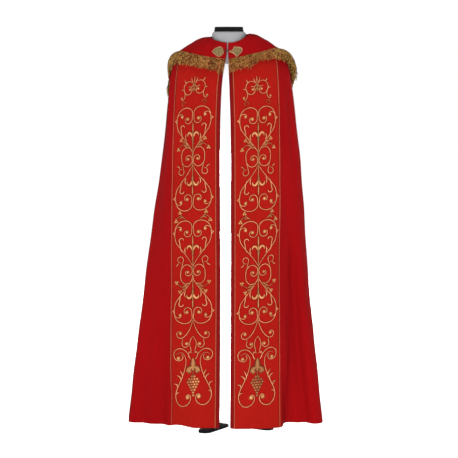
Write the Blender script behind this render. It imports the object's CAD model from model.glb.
"""The looks of a cope vestment on a dress form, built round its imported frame.

The cloth's form is worked out here by the same rules as the solids', with small creases added and
in finer faces. Metres, +Z up; the front faces -Y, and left is -X.
"""

import math
from collections import namedtuple

import bpy
import numpy as np
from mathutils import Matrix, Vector


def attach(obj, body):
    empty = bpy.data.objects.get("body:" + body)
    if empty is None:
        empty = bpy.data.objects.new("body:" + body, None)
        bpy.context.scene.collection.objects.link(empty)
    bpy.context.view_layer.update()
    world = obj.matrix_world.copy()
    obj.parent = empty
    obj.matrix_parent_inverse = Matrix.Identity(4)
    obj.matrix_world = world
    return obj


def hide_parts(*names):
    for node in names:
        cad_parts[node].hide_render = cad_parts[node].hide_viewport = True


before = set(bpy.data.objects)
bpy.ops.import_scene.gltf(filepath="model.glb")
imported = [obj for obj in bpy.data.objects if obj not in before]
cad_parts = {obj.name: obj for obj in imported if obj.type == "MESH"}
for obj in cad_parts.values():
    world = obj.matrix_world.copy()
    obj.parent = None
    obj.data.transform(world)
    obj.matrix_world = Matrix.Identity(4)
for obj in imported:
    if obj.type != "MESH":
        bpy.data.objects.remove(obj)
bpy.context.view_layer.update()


def table(kind, *rows):
    """A table of rows of this kind, which names its columns."""
    return tuple(kind(*row) for row in rows)


# ---- the sizes, as the solids have them ---------------------------------------------------------

SEAM_GAP = 0.0003
MANTLE_THICK = 0.0020
ORPHREY_THICK = 0.0012
CORD_WIDE, CORD_THICK = 0.0036, 0.0014
HOOD_THICK = 0.0018
HOOD_CLEAR = 0.0052  # the hood's inner face above the mantle's outer face, at the neckline
EDGE_STRIP = 0.014  # bare mantle between a front edge and the orphrey's inner cord
ORPHREY_WIDE = 0.177
BAND = EDGE_STRIP + ORPHREY_WIDE
HEM_Z = 0.020

# One row for each level of the hanging cloth, from the neck to the hem. The four z values are the
# level's heights at the front, left, back and right; left, right, front and back are its reach from
# the pole's axis; edge_left and edge_right are where the two front edges stand; band is how far the
# orphrey's outer border lies from the front edge, measured along the cloth.
Level = namedtuple(
    "Level",
    "name z_front z_left z_back z_right left right front back edge_left edge_right band",
)
DRAPE = table(
    Level,
    ("neckline", 1.446, 1.47, 1.486, 1.482, 0.0745, 0.0755, 0.079, 0.068, -0.0075, -0.0035, 0.094),
    ("neck_root", 1.428, 1.467, 1.475, 1.478, 0.0955, 0.098, 0.09, 0.084, -0.0078, -0.0035, 0.121),
    (
        "shoulder_top",
        *(1.405, 1.4435, 1.451, 1.4555, 0.1335, 0.1345, 0.104, 0.106, -0.0095, -0.003, 0.154),
    ),
    (
        "shoulder_mid",
        *(1.374, 1.4165, 1.412, 1.425, 0.171, 0.1755, 0.119, 0.13, -0.015, -0.0015, 0.179),
    ),
    (
        "shoulder_tip",
        *(1.328, 1.384, 1.362, 1.394, 0.204, 0.213, 0.134, 0.152, -0.0225, -0.0003, 0.189),
    ),
    ("upper_arm", 1.262, 1.312, 1.284, 1.320, 0.2245, 0.2340, 0.1460, 0.168, -0.0285, 0.0020, BAND),
    ("chest", 1.128, 1.140, 1.134, 1.142, 0.2430, 0.2538, 0.1560, 0.180, -0.0330, 0.0057, BAND),
    ("waist", 0.854, 0.858, 0.856, 0.858, 0.2742, 0.2784, 0.1660, 0.194, -0.0333, 0.0066, BAND),
    ("hip", 0.550, 0.552, 0.551, 0.552, 0.3168, 0.2986, 0.1740, 0.208, -0.0320, 0.0062, BAND),
    ("knee", 0.246, 0.247, 0.246, 0.247, 0.3612, 0.3320, 0.1810, 0.222, -0.0335, 0.0050, BAND),
    ("hem", HEM_Z, HEM_Z, HEM_Z, HEM_Z, 0.3895, 0.3595, 0.1860, 0.234, -0.0360, 0.0042, BAND),
)
PLAN_POWER = 2.1  # 2 is an ellipse, and more is squarer

# The largest folds. azimuth runs from the front through the left, the back and the right, in
# degrees; before and after are the fold's half-widths on its two sides, in degrees; depth is how
# far it stands out from the level's outline at the hem, and is negative for a valley; top is where
# it starts; lift is how far it raises the hem.
Fold = namedtuple("Fold", "azimuth before after depth top lift")
FOLDS = table(
    Fold,
    (18, 16, 18, 0.000, 0.70, 0.004),
    (50, 9.0, 5.0, -0.022, 0.22, 0.007),
    (62, 6.0, 8.0, -0.034, 0.90, 0.003),
    (74, 5.0, 5.0, -0.018, 0.80, 0.002),
    (104, 6.0, 7.0, 0.022, 1.05, 0.003),
    (125, 7.0, 6.5, 0.044, 1.12, 0.000),
    (146, 6.5, 7.0, 0.056, 1.18, 0.004),
    (168, 7.0, 6.5, 0.048, 1.08, 0.000),
    (188, 6.5, 7.0, 0.058, 1.16, 0.004),
    (210, 7.0, 7.0, 0.046, 1.10, 0.000),
    (231, 6.5, 6.5, 0.055, 1.19, 0.003),
    (252, 6.5, 6.0, 0.028, 1.06, 0.002),
    (284, 5.0, 5.0, 0.014, 1.10, 0.000),
    (296, 8.0, 7.0, -0.052, 1.27, 0.003),
    (303, 5.0, 3.2, -0.036, 0.30, 0.004),
)
FOLD_GROWTH = 1.3  # a fold deepens as this power of its way down to the hem

# The hood's lower edge. column is 0 at a front edge, 1 at the orphrey's outer border and 2 at the
# middle of the back; left_z and right_z are the edge's heights; flare is how far it stands off.
HoodEdge = namedtuple("HoodEdge", "column left_z right_z flare")
HOOD_EDGE = table(
    HoodEdge,
    (0.00, 1.375, 1.375, 0.002),
    (0.45, 1.386, 1.3915, 0.003),
    (0.80, 1.397, 1.404, 0.006),
    (1.00, 1.400, 1.409, 0.012),
    (1.14, 1.394, 1.405, 0.018),
    (1.26, 1.357, 1.378, 0.014),
    (1.38, 1.296, 1.322, 0.008),
    (1.55, 1.204, 1.210, 0.006),
    (1.78, 1.106, 1.108, 0.006),
    (1.92, 1.074, 1.075, 0.006),
    (2.00, 1.070, 1.070, 0.006),
)

# How long the fringe hangs below the hood's edge, at these columns of the two sides.
FringeLength = namedtuple("FringeLength", "column left right")
FRINGE_LENGTHS = table(
    FringeLength,
    (0.00, 0.046, 0.046),
    (0.30, 0.039, 0.037),
    (0.45, 0.037, 0.041),
    (0.60, 0.037, 0.024),
    (0.80, 0.038, 0.031),
    (1.00, 0.038, 0.029),
    (1.14, 0.039, 0.034),
    (1.26, 0.042, 0.042),
    (1.31, 0.027, 0.040),
    (1.38, 0.040, 0.036),
    (2.00, 0.040, 0.040),
)
FRINGE_HEAD = 0.009  # height of the woven head that the fringe hangs from

# The outline of a clasp leaf. along goes from -1 at its stalk to 1 at its tip; above and below are
# the shares of its half-width on its two sides.
LeafEdge = namedtuple("LeafEdge", "along above below")
SPADE = table(
    LeafEdge,
    (-1.00, 0.14, 0.10),
    (-0.95, 0.62, 0.40),
    (-0.75, 0.78, 0.68),
    (-0.40, 1.00, 0.92),
    (-0.15, 0.88, 1.00),
    (0.15, 0.75, 0.92),
    (0.50, 0.52, 0.60),
    (0.82, 0.20, 0.30),
    (1.00, 0.00, 0.00),
)
LOBED = table(
    LeafEdge,
    (-1.00, 0.04, 0.04),
    (-0.84, 0.09, 0.15),
    (-0.60, 0.17, 0.22),
    (-0.36, 0.42, 0.45),
    (-0.04, 0.82, 1.00),
    (0.22, 0.62, 0.82),
    (0.60, 0.48, 0.60),
    (0.84, 0.26, 0.38),
    (1.00, 0.00, 0.00),
)
# The clasp's two leaves: the centre of each, its length from stalk to tip, its width, its turn in
# degrees counted from level, how far it leans outward for each unit up (the hood's own grain leans
# the other way) and its outline.
Leaf = namedtuple("Leaf", "name column height long wide turn lean outline")
LEAVES = table(
    Leaf,
    ("clasp_leaf_left", 0.204, 1.4118, 0.0417, 0.0446, -21.5, 0.0, SPADE),
    ("clasp_leaf_right", 0.195, 1.4142, 0.0500, 0.0470, 2.0, 0.09, LOBED),
)
HOOK_WIRE = 0.0024
HOOK_BOW = 0.0020

# The dress form, level by level from the neck's top to the flat underside.
FormLevel = namedtuple("FormLevel", "name z_front z_side z_back half_wide front back")
FORM = table(
    FormLevel,
    ("neck_top", 1.4925, 1.4960, 1.4995, 0.0560, 0.0560, 0.0540),
    ("neck_brim", 1.4850, 1.4895, 1.4940, 0.0630, 0.0620, 0.0580),
    ("neck", 1.4600, 1.4700, 1.4800, 0.0640, 0.0640, 0.0570),
    ("neck_base", 1.4360, 1.4530, 1.4680, 0.0680, 0.0720, 0.0600),
    ("neck_root", 1.4180, 1.4420, 1.4540, 0.0860, 0.0800, 0.0700),
    ("shoulder_top", 1.3930, 1.4250, 1.4320, 0.1220, 0.0920, 0.0880),
    ("shoulder_mid", 1.3600, 1.4030, 1.3970, 0.1600, 0.1040, 0.1080),
    ("shoulder_tip", 1.3120, 1.3650, 1.3480, 0.1860, 0.1160, 0.1240),
    ("armhole", 1.2350, 1.2700, 1.2600, 0.1840, 0.1240, 0.1290),
    ("chest", 1.1400, 1.1500, 1.1450, 0.1730, 0.1210, 0.1210),
    ("waist", 1.0000, 1.0000, 1.0000, 0.1480, 0.1020, 0.1000),
    ("hip", 0.8400, 0.8400, 0.8400, 0.1720, 0.1110, 0.1240),
    ("seat", 0.7600, 0.7600, 0.7600, 0.1700, 0.1080, 0.1240),
    ("underside", 0.7200, 0.7200, 0.7200, 0.1560, 0.0960, 0.1080),
)
LEG_AZIMUTHS = (29.0, 119.0, 209.0, 299.0)

SIDE_END = 1.30  # the column at which the folded side ends and the back begins
ARC_SAMPLES = 720  # points that measure a level's outline

SIDES = ("left", "right")


# ---- the cloth's form ---------------------------------------------------------------------------


def monotone(at, knots, values):
    """A smooth curve through (knots, values) that never overshoots them, read at these places."""
    at = np.asarray(at, float)
    knots, values = np.asarray(knots, float), np.asarray(values, float)
    step = np.diff(knots)
    slope = np.diff(values) / step
    same_way = slope[:-1] * slope[1:] > 0
    total = np.where(same_way, slope[:-1] + slope[1:], 1)
    inner = np.where(same_way, 2 * slope[:-1] * slope[1:] / total, 0)
    tangent = np.concatenate([slope[:1], inner, slope[-1:]])
    k = np.clip(np.searchsorted(knots, at, side="right") - 1, 0, len(step) - 1)
    f = (at - knots[k]) / step[k]
    return (
        (1 + 2 * f) * (1 - f) ** 2 * values[k]
        + f * (1 - f) ** 2 * step[k] * tangent[k]
        + f * f * (3 - 2 * f) * values[k + 1]
        + f * f * (f - 1) * step[k] * tangent[k + 1]
    )


def lengths_along(path):
    """How far along the path each of its points is."""
    return np.concatenate([[0.0], np.cumsum(np.linalg.norm(np.diff(path, axis=0), axis=1))])


def drops_of(levels):
    """Each level's distance down the cloth from the first one, along the left silhouette."""
    steps = [math.hypot(b.left - a.left, b.z_left - a.z_left) for a, b in zip(levels, levels[1:])]
    return np.concatenate([[0.0], np.cumsum(steps)])


DROPS = drops_of(DRAPE)
LONGEST_DROP = DROPS[-1]


def between(rows, knots, at):
    """The numbers of a table at places between its rows, as one row of arrays."""
    _, *columns = zip(*rows)
    return type(rows[0])("between", *(monotone(at, knots, column) for column in columns))


def level_at(drop):
    """The level of the cloth that lies this distance down it."""
    return between(DRAPE, DROPS, drop)


def four_way(azimuth, front, left, back, right):
    """A value that is front, left, back and right in those directions, and smooth between them."""
    sine, cosine = np.sin(azimuth), np.cos(azimuth)
    return (
        front * np.maximum(cosine, 0) ** 2
        + left * np.maximum(sine, 0) ** 2
        + back * np.maximum(-cosine, 0) ** 2
        + right * np.maximum(-sine, 0) ** 2
    )


def plan_radius(azimuth, left, right, front, back):
    """Distance of a level's outline from the pole's axis, in that direction."""
    sine, cosine = np.sin(azimuth), np.cos(azimuth)
    side = np.where(sine > 0, left, right)
    depth = np.where(cosine > 0, front, back)
    total = (abs(sine) / side) ** PLAN_POWER + (abs(cosine) / depth) ** PLAN_POWER
    return total ** (-1 / PLAN_POWER)


def plan_normal(azimuth, left, right, front, back):
    """(x, y) of the outline's outward normal, in that direction."""
    sine, cosine = np.sin(azimuth), np.cos(azimuth)
    side = np.where(sine > 0, left, right)
    depth = np.where(cosine > 0, front, back)
    x = -np.sign(sine) * (abs(sine) / side) ** (PLAN_POWER - 1) / side
    y = -np.sign(cosine) * (abs(cosine) / depth) ** (PLAN_POWER - 1) / depth
    length = np.hypot(x, y)
    return x / length, y / length


def turn_between(azimuth, centre):
    """Signed difference of two azimuths in degrees, from -180 to 180."""
    return (azimuth - centre + 180) % 360 - 180


def fold_shift(azimuth, z):
    """(how far the folds push the cloth out, how far they lift it) there."""
    degrees = np.degrees(azimuth)
    out, lift = 0.0, 0.0
    for fold in FOLDS:
        turn = turn_between(degrees, fold.azimuth)
        width = np.where(turn < 0, fold.before, fold.after)
        share = np.exp(-((turn / width) ** 2))
        down = np.clip((fold.top - z) / (fold.top - HEM_Z), 0, 1) ** FOLD_GROWTH
        out = out + fold.depth * share * down
        lift = lift + fold.lift * share * down**3
    return out, lift


def azimuth_table(side):
    """Azimuths [drop][column] of the columns on one side, equally spaced along each outline."""
    azimuths = []
    for drop in TABLE_DROPS:
        level = level_at(drop)
        if side == "left":
            start = math.atan2(-level.edge_left, level.front)
        else:
            start = 2 * math.pi - math.atan2(level.edge_right, level.front)
        azimuth = np.linspace(start, math.pi, ARC_SAMPLES)
        radius = plan_radius(azimuth, level.left, level.right, level.front, level.back)
        x, y = radius * np.sin(azimuth), radius * np.cos(azimuth)
        along = np.concatenate([[0.0], np.cumsum(np.hypot(np.diff(x), np.diff(y)))])
        half = along[-1] - SEAM_GAP / 2
        in_band = np.minimum(TABLE_COLUMNS, 1) * level.band
        past_band = np.maximum(TABLE_COLUMNS - 1, 0) * (half - level.band)
        azimuths.append(np.interp(in_band + past_band, along, azimuth))
    return np.array(azimuths)


TABLE_DROPS = np.linspace(0, LONGEST_DROP, 321)
TABLE_COLUMNS = np.linspace(0, 2, 161)
AZIMUTHS = {side: azimuth_table(side) for side in SIDES}


def azimuth_at(side, column, drop):
    """The table's azimuth at these columns and drops, read between its entries."""
    row = np.clip(drop / LONGEST_DROP * (len(TABLE_DROPS) - 1), 0, len(TABLE_DROPS) - 1.001)
    col = np.clip(column / 2 * (len(TABLE_COLUMNS) - 1), 0, len(TABLE_COLUMNS) - 1.000001)
    i, j = row.astype(int), col.astype(int)
    f, g = row - i, col - j
    known = AZIMUTHS[side]
    above = known[i, j] * (1 - g) + known[i, j + 1] * g
    below = known[i + 1, j] * (1 - g) + known[i + 1, j + 1] * g
    return above * (1 - f) + below * f


def cloth_at(side, column, drop):
    """Points of the mantle's outer face, at these columns and distances down the cloth."""
    column, drop = np.broadcast_arrays(np.asarray(column, float), np.asarray(drop, float))
    level = level_at(drop)
    azimuth = azimuth_at(side, column, drop)
    shape = (level.left, level.right, level.front, level.back)
    radius = plan_radius(azimuth, *shape)
    normal_x, normal_y = plan_normal(azimuth, *shape)
    z = four_way(azimuth, level.z_front, level.z_left, level.z_back, level.z_right)
    out, lift = fold_shift(azimuth, z)
    x = -radius * np.sin(azimuth) + out * normal_x
    y = -radius * np.cos(azimuth) + out * normal_y
    return np.stack([x, y, z + lift], axis=-1)


def away_from_cloth(side, column, drop):
    """Outward normals of the mantle's outer face at the same places."""
    column, drop = np.broadcast_arrays(np.asarray(column, float), np.asarray(drop, float))
    nudge_column, nudge_drop = 0.006, 0.002
    across = cloth_at(side, np.minimum(column + nudge_column, 2.0), drop) - cloth_at(
        side, np.maximum(column - nudge_column, 0.0), drop
    )
    down = cloth_at(side, column, np.minimum(drop + nudge_drop, LONGEST_DROP)) - cloth_at(
        side, column, np.maximum(drop - nudge_drop, 0.0)
    )
    normal = np.cross(across, down) if side == "left" else np.cross(down, across)
    normal[..., 0] = np.where(column < 2, normal[..., 0], 0)  # so that the halves part evenly
    return normal / np.linalg.norm(normal, axis=-1, keepdims=True)


def cloth_layer(side, column, drop, offset):
    """Points that lie offset outside the mantle's outer face. The inputs are broadcast together."""
    offset = np.asarray(offset, float)[..., None]
    return cloth_at(side, column, drop) + offset * away_from_cloth(side, column, drop)


def drops_at_heights(side, columns, heights):
    """How far down the cloth each of these columns reaches its height."""
    tries = np.linspace(0, LONGEST_DROP, 400)
    falls = cloth_at(side, np.asarray(columns, float)[None, :], tries[:, None])[..., 2]
    return np.array([np.interp(-z, -falls[:, k], tries) for k, z in enumerate(heights)])


def hood_edge_table(side):
    """(drop, flare) of the hood's edge at each of TABLE_COLUMNS."""
    columns = [row.column for row in HOOD_EDGE]
    z = monotone(TABLE_COLUMNS, columns, [getattr(row, f"{side}_z") for row in HOOD_EDGE])
    flare = monotone(TABLE_COLUMNS, columns, [row.flare for row in HOOD_EDGE])
    return drops_at_heights(side, TABLE_COLUMNS, z), flare


HOOD_EDGES = {side: hood_edge_table(side) for side in SIDES}


def hood_edge(side, column):
    """(how far down the cloth the hood's edge is, how far it stands off) at these columns."""
    drop, flare = HOOD_EDGES[side]
    return np.interp(column, TABLE_COLUMNS, drop), np.interp(column, TABLE_COLUMNS, flare)


def hood_layer(side, column, drop, offset):
    """Points that lie offset outside the hood's inner face, which goes on below its edge."""
    edge, flare = hood_edge(side, column)
    flare = flare * np.minimum(drop / edge, 1) ** 2
    return cloth_layer(side, column, drop, HOOD_CLEAR + offset + flare)


def fringe_length(side, column):
    columns = [row.column for row in FRINGE_LENGTHS]
    return np.interp(column, columns, [getattr(row, side) for row in FRINGE_LENGTHS])


def form_ring(place, columns):
    """Points round the form at this place down the FORM table, which may be between two rows."""
    level = between(FORM, range(len(FORM)), place)
    azimuth = np.linspace(0, 2 * math.pi, columns, endpoint=False)
    radius = plan_radius(azimuth, level.half_wide, level.half_wide, level.front, level.back)
    z = four_way(azimuth, level.z_front, level.z_side, level.z_back, level.z_side)
    return np.column_stack([-radius * np.sin(azimuth), -radius * np.cos(azimuth), z])


def form_top_ring(columns):
    """The form's first ring, pressed flat along its tilt."""
    ring = form_ring(0, columns)
    foremost, rearmost = ring[np.argmin(ring[:, 1])], ring[np.argmax(ring[:, 1])]
    tilt = (rearmost[2] - foremost[2]) / (rearmost[1] - foremost[1])
    ring[:, 2] = foremost[2] + tilt * (ring[:, 1] - foremost[1])
    return ring


# ---- small creases ------------------------------------------------------------------------------

# A crease runs down the cloth from top to bottom, both distances down it in metres, and across from
# column_top to column_bottom. height is how far it stands out, and is negative for a valley; wide
# is its half-width; bow is how far its middle strays, in columns.
Crease = namedtuple("Crease", "side column_top column_bottom top bottom height wide bow")
CREASES = table(
    Crease,
    # the folds beside the right orphrey, tight under the fringe and soft towards the hem
    ("right", 1.055, 1.045, 0.10, 0.62, -0.0030, 0.006, 0.004),
    ("right", 1.100, 1.095, 0.10, 0.46, -0.0030, 0.006, -0.003),
    ("right", 1.138, 1.142, 0.20, 0.70, -0.0065, 0.010, 0.002),
    ("right", 1.112, 1.166, 0.74, 1.56, -0.0180, 0.018, 0.002),
    ("right", 1.014, 1.012, 0.70, 1.54, -0.0045, 0.022, 0.0),
    ("right", 1.066, 1.062, 0.70, 1.54, 0.0030, 0.030, 0.0),
    ("right", 1.300, 1.270, 0.25, 1.47, 0.0060, 0.030, -0.010),
    ("right", 1.360, 1.350, 0.40, 1.47, -0.0070, 0.026, 0.008),
    # softer ones beside the left orphrey
    ("left", 1.050, 1.030, 0.06, 0.45, -0.0040, 0.008, 0.003),
    ("left", 1.100, 1.085, 0.06, 0.50, 0.0035, 0.010, -0.003),
    ("left", 1.180, 1.150, 0.12, 0.90, -0.0040, 0.020, 0.008),
    ("left", 1.240, 1.230, 0.50, 1.47, 0.0070, 0.026, 0.008),
    ("left", 1.330, 1.330, 0.35, 1.47, -0.0060, 0.030, -0.010),
    # where the left orphrey's outer corner turns back
    ("left", 1.002, 0.995, 1.20, 1.50, -0.0015, 0.018, 0.0),
    ("left", 1.000, 0.988, 1.30, 1.50, -0.0030, 0.019, 0.0),
    ("left", 0.995, 0.980, 1.37, 1.51, -0.0050, 0.020, 0.0),
    # long soft waves in the orphreys
    ("left", 0.30, 0.42, 0.30, 1.30, 0.0024, 0.040, 0.060),
    ("left", 0.72, 0.60, 0.10, 1.10, -0.0024, 0.038, -0.050),
    ("left", 0.86, 0.90, 0.70, 1.47, 0.0035, 0.022, 0.020),
    ("right", 0.35, 0.28, 0.20, 1.20, -0.0022, 0.042, 0.050),
    ("right", 0.66, 0.78, 0.15, 1.35, 0.0024, 0.040, -0.040),
    ("right", 0.93, 0.90, 0.60, 1.47, -0.0028, 0.020, 0.015),
    # the back
    ("left", 1.500, 1.480, 0.40, 1.47, 0.0060, 0.024, 0.012),
    ("left", 1.640, 1.660, 0.50, 1.47, -0.0070, 0.022, -0.012),
    ("left", 1.790, 1.780, 0.60, 1.47, 0.0055, 0.020, 0.010),
    ("left", 1.920, 1.930, 0.55, 1.47, -0.0050, 0.020, 0.006),
    ("right", 1.460, 1.480, 0.45, 1.47, 0.0065, 0.024, -0.012),
    ("right", 1.590, 1.570, 0.50, 1.47, -0.0060, 0.022, 0.012),
    ("right", 1.730, 1.750, 0.60, 1.47, 0.0060, 0.020, -0.010),
    ("right", 1.880, 1.870, 0.55, 1.47, -0.0060, 0.020, 0.008),
)
# The hood's own: top and bottom are shares of the way from the neckline to its edge.
HOOD_CREASES = table(
    Crease,
    ("left", 0.55, 0.30, 0.05, 0.95, 0.0022, 0.018, 0.05),
    ("left", 0.95, 0.85, 0.10, 1.00, -0.0028, 0.020, 0.05),
    ("left", 1.22, 1.30, 0.15, 1.00, 0.0035, 0.024, -0.03),
    ("left", 1.52, 1.66, 0.20, 0.95, -0.0040, 0.026, 0.04),
    ("left", 1.84, 1.86, 0.15, 0.90, 0.0030, 0.024, 0.03),
    ("right", 0.60, 0.36, 0.05, 0.95, -0.0022, 0.018, 0.05),
    ("right", 1.00, 0.92, 0.10, 1.00, 0.0030, 0.020, -0.05),
    ("right", 1.20, 1.26, 0.15, 1.00, -0.0030, 0.022, 0.03),
    ("right", 1.48, 1.60, 0.20, 0.95, 0.0040, 0.026, -0.04),
    ("right", 1.78, 1.82, 0.15, 0.90, -0.0032, 0.024, 0.03),
)
# The hood's edge sinks over the shoulders, round this column and this half-width to either side.
SETTLED_COLUMN, SETTLED_WIDE = 1.10, 0.10
SETTLED_DEPTH = {"left": 0.0042, "right": 0.0040}
HALF_NECK, HALF_HEM = 0.30, 1.05  # roughly how wide a half of the cloth is at its two ends
BOW_TURNS = 2.6  # half-waves of a crease's bow
FADE_IN, FADE_OUT = 0.25, 0.35  # shares of a crease's length
TO_HEM = 1.4  # a crease that ends lower than this runs on to the hem
EDGE_ROLL = 0.0045  # how far the bare strip along a front edge rolls back
# Creases pressed in where the cope was folded for storage: height above the floor, how far they
# stand out and their half-width.
PRESSED = ((0.415, -0.0011, 0.006), (0.672, 0.0008, 0.007))
PRESSED_TO = 1.35  # the last column that they reach


def width_of_column(column, drop):
    """Roughly how many metres of cloth one column is there."""
    half = HALF_NECK + (HALF_HEM - HALF_NECK) * drop / LONGEST_DROP
    return np.where(column <= 1, level_at(drop).band, half - level_at(drop).band)


def crease_height(creases, side, column, down, drop):
    """How far these creases raise the cloth, down being counted as in their table."""
    column, down, drop = np.broadcast_arrays(*(np.asarray(a, float) for a in (column, down, drop)))
    height = np.zeros(column.shape)
    metres = width_of_column(column, drop)
    for crease in creases:
        if crease.side != side:
            continue
        share = np.clip((down - crease.top) / (crease.bottom - crease.top), 0, 1)
        centre = (
            crease.column_top
            + (crease.column_bottom - crease.column_top) * share
            + crease.bow * np.sin(BOW_TURNS * share * math.pi)
        )
        across = (column - centre) * metres
        fade_in = np.clip(share / FADE_IN, 0, 1)
        fade_out = 1 if crease.bottom > TO_HEM else np.clip((1 - share) / FADE_OUT, 0, 1)
        strength = fade_in**2 * (3 - 2 * fade_in) * fade_out
        height = height + crease.height * strength * np.exp(-((across / crease.wide) ** 2))
    return height


def ripple(column, drop):
    """A faint unevenness, the same for every layer of cloth there."""
    broad = np.sin(9.0 * column + 4.0 * np.sin(5.1 * drop)) * np.sin(17.0 * drop + 3.1 * column)
    return 0.0007 * broad + 0.0004 * np.sin(23.0 * column + 31.0 * drop)


def fine_cloth(side, column, drop, offset):
    """Points offset outside the mantle's outer face, its creases included."""
    column, drop = np.asarray(column, float), np.asarray(drop, float)
    raised = crease_height(CREASES, side, column, drop, drop) + ripple(column, drop)
    raised = raised - EDGE_ROLL * np.maximum(1 - column / (EDGE_STRIP / BAND), 0) ** 2
    height = level_at(drop).z_left
    for z, stands_out, wide in PRESSED:
        strength = np.clip((PRESSED_TO - column) / 0.3, 0, 1)
        raised = raised + stands_out * strength * np.exp(-(((height - z) / wide) ** 2))
    return cloth_layer(side, column, drop, offset + raised)


def fine_hood(side, column, drop, offset):
    """Points offset outside the hood's inner face, its creases included."""
    column, drop = np.asarray(column, float), np.asarray(drop, float)
    down = drop / hood_edge(side, column)[0]
    raised = crease_height(HOOD_CREASES, side, column, down, drop) + ripple(column, drop)
    near_edge = np.clip((down - 0.55) / 0.35, 0, 1)
    away = (column - SETTLED_COLUMN) / SETTLED_WIDE
    raised = raised - SETTLED_DEPTH[side] * np.exp(-(away**2)) * near_edge
    return hood_layer(side, column, drop, offset + raised)


# ---- meshes -------------------------------------------------------------------------------------


def add_piece(name, points, faces, materials, face_slots=None, uv=None, tone=None):
    """A smooth mesh object that rides on the part. uv and tone hold a value for each point."""
    mesh = bpy.data.meshes.new(name)
    mesh.from_pydata(np.asarray(points).tolist(), [], [list(map(int, f)) for f in faces])
    for made in materials:
        mesh.materials.append(made)
    if face_slots is not None:
        mesh.polygons.foreach_set("material_index", np.asarray(face_slots, dtype=np.int32))
    corners = np.empty(len(mesh.loops), dtype=np.int32)
    mesh.loops.foreach_get("vertex_index", corners)
    if uv is not None:
        layer = mesh.uv_layers.new(name="cloth")
        layer.data.foreach_set("uv", np.asarray(uv, float)[corners].ravel())
    if tone is not None:
        layer = mesh.color_attributes.new("tone", "FLOAT_COLOR", "POINT")
        tone = np.asarray(tone, float)
        layer.data.foreach_set("color", np.column_stack([tone] * 3 + [np.ones(len(tone))]).ravel())
    mesh.shade_smooth()
    mesh.validate()
    obj = bpy.data.objects.new(name, mesh)
    bpy.context.scene.collection.objects.link(obj)
    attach(obj, "root")
    return obj


def across_and_along(across, along):
    """UVs of a grid that has a row for each place along and a column for each place across."""
    return np.stack(np.broadcast_arrays(across[None, :], along[:, None]), axis=-1)


def ring_faces(rows, count):
    """Faces between rows of closed rings of count points, and a cap at each end."""
    faces = []
    for i in range(rows - 1):
        for j in range(count):
            k = (j + 1) % count
            faces.append((i * count + j, i * count + k, (i + 1) * count + k, (i + 1) * count + j))
    last = (rows - 1) * count
    return [*faces, tuple(range(count))[::-1], tuple(range(last, last + count))]


def quads(rows, columns, start=0, flip=False):
    """Faces of a grid of points, row by row."""
    i, j = np.meshgrid(np.arange(rows - 1), np.arange(columns - 1), indexing="ij")
    a = start + (i * columns + j).ravel()
    ring = np.column_stack([a, a + columns, a + columns + 1, a + 1])
    return ring[:, ::-1] if flip else ring


def shell(name, outer, inner, uv, outer_material, inner_material=None, edge_material=None):
    """A thin closed sheet between two grids of points, its rim filled.

    edge_material goes on the outer faces of the first and last EDGE_COLUMNS columns.
    """
    rows, columns = outer.shape[:2]
    count = rows * columns
    index = np.arange(count).reshape(rows, columns)
    rim = np.concatenate([index[0, :-1], index[:-1, -1], index[-1, :0:-1], index[:0:-1, 0]])
    after = np.roll(rim, -1)
    rim_faces = np.column_stack([rim, after, after + count, rim + count])
    front, back = quads(rows, columns), quads(rows, columns, count, flip=True)
    points = np.concatenate([outer.reshape(-1, 3), inner.reshape(-1, 3)])
    slots = [0] * len(front) + [1 if inner_material else 0] * len(back) + [0] * len(rim_faces)
    materials = [made for made in (outer_material, inner_material, edge_material) if made]
    if edge_material:
        place = np.arange(len(front)) % (columns - 1)
        for k in np.flatnonzero((place < EDGE_COLUMNS) | (place >= columns - 1 - EDGE_COLUMNS)):
            slots[k] = 2
    faces = np.concatenate([front, back, rim_faces])
    uv = uv.reshape(-1, 2)
    return add_piece(name, points, faces, materials, slots, np.concatenate([uv, uv]))


EDGE_COLUMNS = 2


class Heap:
    """Points and faces of many small things, gathered for one mesh."""

    def __init__(self):
        self.points, self.faces, self.uv, self.tone = [], [], [], []
        self.count = 0

    def add(self, points, faces, uv=None, tone=0.5):
        points = np.asarray(points, float).reshape(-1, 3)
        self.points.append(points)
        self.faces += [tuple(int(k) + self.count for k in face) for face in faces]
        self.uv.append(np.zeros((len(points), 2)) if uv is None else np.reshape(uv, (-1, 2)))
        self.tone.append(np.broadcast_to(tone, len(points)))
        self.count += len(points)

    def tube(self, path, radii, sides=6, tone=0.5):
        """A round tube along path, closed at both ends."""
        path = np.asarray(path, float)
        radii = np.broadcast_to(radii, len(path))
        along = np.gradient(path, axis=0)
        along /= np.linalg.norm(along, axis=1, keepdims=True) + 1e-12
        guide = np.array([0.13, 1.0, 0.21]) if abs(along[0][1]) < 0.9 else np.array([1.0, 0.1, 0.2])
        wide = np.cross(along, guide)
        wide /= np.linalg.norm(wide, axis=1, keepdims=True)
        high = np.cross(along, wide)
        angle = 2 * math.pi * np.arange(sides) / sides
        cosine, sine = np.cos(angle)[None, :, None], np.sin(angle)[None, :, None]
        ring = wide[:, None] * cosine + high[:, None] * sine
        points = path[:, None] + ring * radii[:, None, None]
        uv = across_and_along(angle / 2 / math.pi, lengths_along(path))
        self.add(points, ring_faces(len(path), sides), uv, tone)

    def piece(self, name, made):
        return add_piece(
            name, np.concatenate(self.points), self.faces, [made], uv=np.concatenate(self.uv),
            tone=np.concatenate(self.tone),
        )


# ---- materials ----------------------------------------------------------------------------------


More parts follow.
